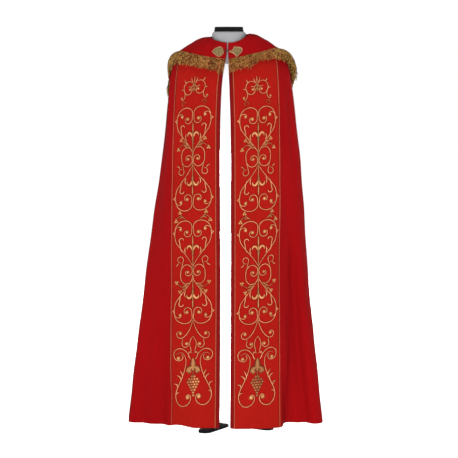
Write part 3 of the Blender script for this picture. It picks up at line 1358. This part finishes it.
def add_lyre(pattern, lily, grape, shaded_grape):
    """The lyre of long scrolls at the foot of the pattern, with a lily and a bunch of grapes."""
    arm = coil(
        14.0, 356.2, (128, 7.8), (90, 7.4), (45, 6.8), (0, 5.6), (-50, 4.8), (-100, 4.4),
        (-160, 3.6), (-215, 2.6),
    )
    pattern.stroke(grown((2.4, 359.4), (1.6, -3.0), arm, 4.2), 1.0)
    pattern.bud(14.9, 358.2, 2.0)
    body = through(
        (9.6, 354.6), (7.5, 358.8), (7.7, 365.8), (10.2, 374.6), (14.2, 383.4), (17.6, 390.8),
        (18.6, 396.8), (16.8, 402.6), (12.4, 406.4), (7.2, 405.8), (3.4, 402.2), (2.5, 397.8),
        (4.6, 395.0), (7.4, 396.0),
    )
    pattern.stroke(grown((16.8, 354.6), (-3.0, -2.6), body, 2.6), 1.05, (0.2, 0.8))
    pattern.bud(5.8, 397.6, 2.4)
    for base, middle, tip in (
        ((10.8, 378.6), (11.2, 374.2), (13.4, 370.4)),
        ((12.2, 381.0), (13.4, 377.0), (16.6, 374.8)),
        ((16.2, 388.6), (16.8, 384.4), (20.0, 383.2)),
    ):
        pattern.leaf(base, middle, tip, wide=1.35)
    pattern.leaf((18.0, 394.4), (16.6, 392.4), (14.6, 392.4), wide=1.1)
    pattern.leaf((0, 358.2), (0, 364.6), (0, 371.4), wide=6.2, both=False, tone=lily)
    pattern.leaf((0.2, 367.6), (3.6, 368.4), (7.0, 371.8), wide=5.0, tone=lily)
    pattern.bud(4.1, 371.3, 2.7, tone=lily)
    pattern.line((0, 371.0), (0, 374.0), (0, 377.0), wide=0.9, both=False, tone=OLIVE)
    for row, count in enumerate(GRAPES):
        for k in range(count):
            x, y = (k - (count - 1) / 2) * 2.7, 377.0 + 2.7 * row
            pattern.bud(x, y, 1.42, both=False, tone=grape if 2 * k < count else shaded_grape)
    pattern.line((0.8, 353.4), (2.4, 352), (4.4, 353.2), (4.4, 356.4), (2.4, 359.6), wide=0.8)


# The tones of the lily, of the grapes and of the grapes on their shaded side.
FOOT_TONES = {"left": (0.34, 0.68, OCHRE), "right": (0.25, 0.32, OLIVE)}


# (where it stands on the grid, 1 for upright or -1, whether it has side sprigs)
HEARTS = ((151, 1, True), (165.5, -1, False), (264.5, 1, False), (279, -1, True))


def pattern_of_an_orphrey(side):
    pattern = Pattern()
    add_crown(pattern)
    for origin, way, has_sprig in HEARTS:
        pattern.move_to(origin, way)
        add_heart(pattern)
        if has_sprig:
            add_side_sprig(pattern)
    for origin, way in ((160, 1), (270, -1)):
        pattern.move_to(origin, way)
        add_twin_scrolls(pattern)
    pattern.move_to(0, 1)
    add_middle_sprig(pattern)
    add_ogee(pattern)
    add_lyre(pattern, *FOOT_TONES[side])
    return pattern


def height_table(side):
    """Heights [drop][column] over an orphrey, for finding the drop at which a height is met."""
    return cloth_at(side, HEIGHT_COLUMNS[None, :], HEIGHT_DROPS[:, None])[..., 2]


HEIGHT_COLUMNS = np.linspace(0, 1, 21)
HEIGHT_DROPS = np.linspace(0, LONGEST_DROP, 600)
HEIGHTS = {side: height_table(side) for side in SIDES}


def to_cloth(side, flat, height):
    """Pattern units to points on an orphrey, height above its cloth."""
    flat = np.asarray(flat, float)
    x, y = flat[..., 0], flat[..., 1]
    _, left, right, narrowed, shift = (
        np.interp(y, [hang.y for hang in HANGS], values) for values in zip(*HANGS)
    )
    lean = left if side == "left" else right
    z = PATTERN_TOP_Z - (y - PATTERN_TOP_Y + lean * x) * STITCH
    column = (EDGE_STRIP + ORPHREY_WIDE / 2 + (x * (1 - narrowed) + shift) * STITCH) / BAND
    last = len(HEIGHT_COLUMNS) - 1
    drops = np.array([np.interp(-z, -heights, HEIGHT_DROPS) for heights in HEIGHTS[side].T])
    place = np.clip(column * last, 0, last - 0.001)
    k = place.astype(int)
    below = np.take_along_axis(drops, k[None], axis=0)[0]
    above = np.take_along_axis(drops, k[None] + 1, axis=0)[0]
    drop = below + (above - below) * (place - k)
    return fine_cloth(side, column, drop, SEAM_GAP + ORPHREY_THICK + height)


STROKE_STEP = 0.55  # units between a stroke's cross-sections
# (across, share of its full height) of the points of a stroke's cross-section
STROKE_SECTION = (
    (-1, 0), (-0.82, 0.55), (-0.45, 0.9), (0, 1.0), (0.45, 0.9), (0.82, 0.55), (1, 0)
)
THREAD_SPREAD = 0.96  # a stroke's width, as a share of the width it is drawn with
THREAD_FOOT = 0.0003  # height of a stroke's edges above the band
SUNK_BESIDE = 0.62  # units of cloth that a stroke pulls down on each side of it
SUNK_HEIGHT = 0.00022


def add_stroke(heap, ground, side, path, wide, ends, tone):
    """A padded stroke on heap, and on ground the cloth that its stitches pull down beside it."""
    wide = wide * THREAD_SPREAD
    steps = np.linalg.norm(np.diff(path, axis=0), axis=1)
    path = path[np.concatenate([[True], steps > 1e-6])]
    along = lengths_along(path)
    count = max(6, int(along[-1] / STROKE_STEP))
    at = np.linspace(0, along[-1], count)
    path = np.column_stack([np.interp(at, along, path[:, k]) for k in (0, 1)])
    tangent = np.gradient(path, axis=0)
    tangent /= np.linalg.norm(tangent, axis=1, keepdims=True) + 1e-9
    normal = np.column_stack([-tangent[:, 1], tangent[:, 0]])
    share = at / along[-1]
    swell = np.sin(math.pi * np.clip(share, 0.0, 1.0)) ** 0.75
    profile = np.where(share < 0.5, ends[0], ends[1])
    profile = profile + (1 - profile) * swell

    def ribbon(across, half_wide):
        return path[:, None] + normal[:, None] * across[None, :, None] * half_wide[:, None, None]

    across, rise = np.array(STROKE_SECTION).T
    full = 0.0005 + 0.00045 * np.minimum(profile * wide, 2.4)[:, None]
    height = THREAD_FOOT + rise[None, :] * full
    points = to_cloth(side, ribbon(across, profile * wide / 2), height)
    uv = across_and_along(across / 2 + 0.5, at * STITCH)
    heap.add(points, quads(count, len(across), flip=side == "left"), uv, tone)
    across = np.array([-1, -0.5, 0, 0.5, 1])
    flat = ribbon(across, profile * wide / 2 + SUNK_BESIDE)
    points = to_cloth(side, flat, np.full(flat.shape[:2], SUNK_HEIGHT))
    uv = across_and_along(across * STITCH, at * STITCH)
    ground.add(points, quads(count, len(across), flip=side == "left"), uv, tone)


# (share of its radius, share of its height) of a bud's rings
BUD_SECTION = ((0.02, 1.0), (0.45, 0.92), (0.8, 0.6), (1.0, 0.0))


def add_bud(heap, side, centre, radius, tone):
    """A domed dot of thread, wound in a spiral."""
    angles = np.linspace(0, 2 * math.pi, 15)
    rings, rise = np.array(BUD_SECTION).T
    around = np.column_stack([np.cos(angles), np.sin(angles)])
    flat = np.asarray(centre) + around[None] * (rings * radius)[:, None, None]
    height = 0.0002 + (rise * 0.0018)[:, None] + 0 * angles[None, :]
    points = to_cloth(side, flat, height)
    wound = (angles * radius * STITCH)[None, :] * 0.7
    uv = np.stack(np.broadcast_arrays(0.5 + 0.45 * rings[:, None], wound), axis=-1)
    heap.add(points, quads(len(rings), len(angles), flip=side == "right"), uv, tone)


def make_embroidery():
    for side in SIDES:
        pattern, heap, ground = pattern_of_an_orphrey(side), Heap(), Heap()
        for stroke in pattern.strokes:
            add_stroke(heap, ground, side, *stroke)
        for bud in pattern.buds:
            add_bud(heap, side, *bud)
        sewn = heap.piece(f"embroidery_{side}", STITCHED)
        ground.piece(f"sunk_ground_{side}", SUNK)


# ---- the clasp ----------------------------------------------------------------------------------


def on_hood(side, column, height, outward, up, offset):
    """Points above the hood's outer face, outward and up from the place given, along the cloth."""
    drop = drops_at_heights(side, [column], [height])[0]
    band = level_at(drop).band
    above, below = cloth_at(side, column, np.array([drop - 0.01, drop + 0.01]))
    stretch = np.linalg.norm(below - above) / 0.02  # length along the cloth for each unit of drop
    low = HOOD_THICK + 2 * SEAM_GAP
    return fine_hood(side, column + outward / band, drop - up / stretch, low + offset)


def leaf_outline(leaf, shrink, count):
    """(outward, up) of points round a leaf, with its stalk towards the opening."""
    stations, above, below = (np.array(values) for values in zip(*leaf.outline))
    angle = np.linspace(0, 2 * math.pi, count, endpoint=False)
    along = -np.cos(angle)
    swell = np.sign(np.sin(angle)).round() * np.where(
        angle < math.pi, np.interp(along, stations, above), np.interp(along, stations, below)
    )
    return turned(leaf, along * (leaf.long / 2 - shrink), swell * (leaf.wide / 2 - shrink))


def turned(leaf, outward, up):
    turn = math.radians(leaf.turn)
    risen = outward * math.sin(turn) + up * math.cos(turn)
    return outward * math.cos(turn) - up * math.sin(turn) + leaf.lean * risen, risen


# (how far the outline is drawn in, height above the hood) of each ring of a leaf's plate
LEAF_RELIEF = ((0.0006, 0.0), (0.0002, 0.0012), (0.0016, 0.0020), (0.0080, 0.0022))
# (how far it is drawn in, height, radius, sides, tone) of the two wires round a leaf
LEAF_WIRES = ((0.0010, 0.0024, 0.0010, 7, 0.8), (0.0052, 0.0029, 0.00065, 6, 0.5))
# (along, up, radius, way it turns) of each wire coil, in shares of a leaf's half-length and
# half-width
LEAF_COILS = {
    "clasp_leaf_left": (
        (0.52, -0.02, 0.22, 1), (0.14, 0.38, 0.25, 1), (0.12, -0.42, 0.27, -1),
        (-0.36, 0.56, 0.24, -1), (-0.36, -0.50, 0.24, 1), (-0.14, 0.0, 0.22, -1),
        (-0.66, 0.04, 0.22, 1),
    ),
    "clasp_leaf_right": (
        (0.60, 0.06, 0.22, 1), (0.30, 0.30, 0.20, 1), (0.36, -0.34, 0.20, -1),
        (0.0, 0.46, 0.22, -1), (0.0, -0.60, 0.22, 1), (0.02, -0.08, 0.24, -1),
        (-0.34, -0.02, 0.16, 1),
    ),
}


def make_clasp():
    for leaf in LEAVES:
        side = leaf.name.split("_")[-1]
        heap = Heap()

        def at(outward, up, height):
            place = turned(leaf, np.asarray(outward, float), np.asarray(up, float))
            return on_hood(side, leaf.column, leaf.height, *place, height)

        def outline(shrink, height, count=96):
            place = leaf_outline(leaf, shrink, count)
            return on_hood(side, leaf.column, leaf.height, *place, height)

        add_rings(heap, [outline(shrink, height) for shrink, height in LEAF_RELIEF], 0.42)
        for shrink, height, radius, sides, tone in LEAF_WIRES:
            rim = outline(shrink, height)
            heap.tube(np.concatenate([rim, rim[:2]]), radius, sides, tone)
        half_long, half_wide = leaf.long / 2, leaf.wide / 2
        t = np.linspace(0, 1, 44)
        for x, y, size, spin in LEAF_COILS[leaf.name]:
            x, y = x * half_long, y * half_wide
            angle = spin * (0.8 + 4.2 * math.pi * t)
            radius = size * half_wide * (1 - 0.84 * t)
            wire = at(x + radius * np.cos(angle), y + radius * np.sin(angle), 0.0030 + 0.0008 * t)
            heap.tube(wire, 0.00062, 6, 0.58)
            add_bead(heap, at(x, y, 0.0044), 0.0013)
        for bead in outline(0.0031, 0.0031, 34):
            add_bead(heap, bead, 0.0009)
        piece = heap.piece(f"filigree_{side}", GILT)
        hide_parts(leaf.name)
    make_hook()


def add_rings(heap, rings, tone):
    """A solid through closed rings of points."""
    heap.add(np.concatenate(rings), ring_faces(len(rings), len(rings[0])), tone=tone)


def add_bead(heap, centre, radius):
    angles = 2 * math.pi * np.arange(8) / 8
    around = np.column_stack([np.cos(angles), 0 * angles, np.sin(angles)])
    rings = [
        centre + radius * (around * math.sqrt(1 - h * h) + [0, h, 0])
        for h in (-0.95, -0.6, 0, 0.6, 0.95)
    ]
    add_rings(heap, rings, 0.8)


def make_hook():
    """The dark wire hook, and the eye it passes through."""
    ends = []
    for leaf in LEAVES:
        side = leaf.name.split("_")[-1]
        outward, up = turned(leaf, np.array(-(leaf.long / 2 - 0.001)), np.array(0.0))
        ends.append(on_hood(side, leaf.column, leaf.height, outward, up, HOOK_WIRE * 1.2))
    heap = Heap()
    share = np.linspace(0, 1, 24)[:, None]
    path = ends[0] * (1 - share) + ends[1] * share
    path[:, 1] -= HOOK_BOW * np.sin(math.pi * share[:, 0])
    heap.tube(path, 0.0015, 8, 0.4)
    middle = path[len(path) // 2]
    angle = np.linspace(0, 2 * math.pi, 25)
    ring = middle + np.column_stack(
        [0.0030 * np.cos(angle), 0.0006 * np.sin(angle) - 0.0012, 0.0030 * np.sin(angle)]
    )
    heap.tube(ring, 0.0008, 7, 0.4)
    hook = heap.piece("hook_and_eye", DARK_METAL)
    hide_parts("clasp_hook")


# ---- the form and the stand ---------------------------------------------------------------------

NECK_SEAM_Z = 1.370  # the form's neck is covered apart from its body


def make_form():
    places = np.concatenate([np.linspace(0, 4, 50), np.linspace(4, len(FORM) - 1, 90)[1:]])
    columns = 128
    rings = [form_top_ring(columns), *(form_ring(place, columns) for place in places[1:])]
    grid = np.array(rings)
    rows = len(grid)
    angle = np.arange(columns) / columns
    uv = across_and_along(angle * 0.9, lengths_along(grid[:, 0])).reshape(-1, 2)
    points = grid.reshape(-1, 3)
    # the sides are wound to look inward, as the cope's sheets are; the two caps look outward
    *around, top, underside = ring_faces(rows, columns)
    faces = [*((a, d, c, b) for a, b, c, d in around), top, underside]
    slots = [0 if points[list(face), 2].mean() > NECK_SEAM_Z else 1 for face in faces]
    form = add_piece("form_body", points, faces, [NECK_JERSEY, BODY_JERSEY], slots, uv)
    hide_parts("form_torso")
    make_neck_cap(columns)


def make_neck_cap(columns):
    base = form_top_ring(columns)
    centre = base.mean(axis=0)
    outward = base - centre
    reach = np.linalg.norm(outward, axis=1, keepdims=True)
    profile = (
        (0.0, 0.0008), (0.0008, 0.0), (0.0030, 0.0003), (0.0075, 0.0014), (0.0125, 0.0020),
        (0.0150, 0.0022), (0.0168, 0.0030), (0.0177, 0.0046), (0.0180, 0.0068), (0.0180, 0.0200),
    )
    rings = [centre + outward * (1 - s / reach) + [0, 0, SEAM_GAP + h] for h, s in profile]
    heap = Heap()
    add_rings(heap, rings, 0.42)
    cap = heap.piece("neck_disc", BLACK)
    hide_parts("neck_cap")


def dress_stand():
    """The stand's own solids stay, with better finishes."""
    for name in ("stand_pole", "stand_hub", "form_flange"):
        give(name, WHITE)
    for k in range(len(LEG_AZIMUTHS)):
        give(f"stand_leg_{k + 1}", BLACK)


def give(name, made):
    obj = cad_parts[name]
    for slot in obj.material_slots:
        slot.material = made


# ---- the studio ---------------------------------------------------------------------------------

# Each lamp's place, the point that it faces, its width and height, and its power in watts.
Lamp = namedtuple("Lamp", "name place target size power")
LAMPS = table(
    Lamp,
    ("key", (-0.2, -5.2, 0.4), (0, 0, 0.7), (1.2, 1.2), 310),
    ("top", (0, -1.2, 4.0), (0, 0, 1.4), (1.5, 1.5), 30),
    ("back", (1.6, 5.0, 2.0), (0, 0, 0.8), (1.2, 1.2), 330),
    ("far_side", (-4.6, 1.8, 2.0), (0, 0, 0.8), (1.0, 1.0), 80),
    ("near_side", (4.6, 1.4, 2.0), (0, 0, 0.8), (1.0, 1.0), 75),
    ("inside", (-0.006, -0.105, 0.60), (-0.006, 1, 0.60), (0.16, 0.95), 6),
)
WORLD_LIGHT = 0.52  # how much the backdrop lights, as a share of how bright it shows
FLOOR_HALF = 60.0
FLOOR_GLOW = 0.75
PHOTO_SIDE = 458  # pixels
FOCAL_LENGTH = 1450  # in the photo's pixels
SENSOR = 36
CAMERA_PLACE, CAMERA_TARGET = (0, -5.5, 1.12), (0, 0, 0.7512)


def set_up(name, data, place, target):
    """A light or a camera at place, facing target."""
    obj = bpy.data.objects.new(name, data)
    obj.location = place
    obj.rotation_euler = (Vector(target) - Vector(place)).to_track_quat("-Z", "Y").to_euler()
    bpy.context.scene.collection.objects.link(obj)
    return obj


def area_light(lamp):
    light = bpy.data.lights.new(lamp.name, "AREA")
    light.shape = "RECTANGLE"
    light.size, light.size_y = lamp.size
    light.energy = lamp.power
    set_up(lamp.name, light, lamp.place, lamp.target)


def make_world():
    """A white backdrop that lights the cope less than it shows."""
    world = bpy.data.worlds.new("studio")
    world.use_nodes = True
    tree = world.node_tree
    seen = tree.nodes["Background"]
    seen.inputs[0].default_value = (1, 1, 1, 1)
    path = tree.nodes.new("ShaderNodeLightPath")
    strength = tree.nodes.new("ShaderNodeMapRange")
    strength.inputs["To Min"].default_value = WORLD_LIGHT
    strength.inputs["To Max"].default_value = 1.0
    tree.links.new(path.outputs["Is Camera Ray"], strength.inputs["Value"])
    tree.links.new(strength.outputs[0], seen.inputs[1])
    bpy.context.scene.world = world


def make_studio():
    floor_mesh = bpy.data.meshes.new("floor")
    low, high = -FLOOR_HALF, FLOOR_HALF
    floor_mesh.from_pydata(
        [(low, low, 0), (high, low, 0), (high, high, 0), (low, high, 0)], [], [(0, 1, 2, 3)]
    )
    pale = Nodes("floor_paint", (0.62, 0.62, 0.62), 0.9, specular=0.1)
    pale.shader.inputs["Emission Color"].default_value = (1, 1, 1, 1)
    pale.shader.inputs["Emission Strength"].default_value = FLOOR_GLOW
    floor_mesh.materials.append(pale.finish())
    floor = bpy.data.objects.new("floor", floor_mesh)
    bpy.context.scene.collection.objects.link(floor)
    make_world()
    for lamp in LAMPS:
        area_light(lamp)
    camera = bpy.data.cameras.new("camera")
    camera.sensor_width = SENSOR
    camera.lens = SENSOR * FOCAL_LENGTH / PHOTO_SIDE
    bpy.context.scene.camera = set_up("camera", camera, CAMERA_PLACE, CAMERA_TARGET)
    bpy.context.scene.view_settings.view_transform = "Standard"


make_studio()
make_mantle()
make_orphreys()
make_embroidery()
make_hood()
make_fringe()
make_clasp()
make_form()
dress_stand()
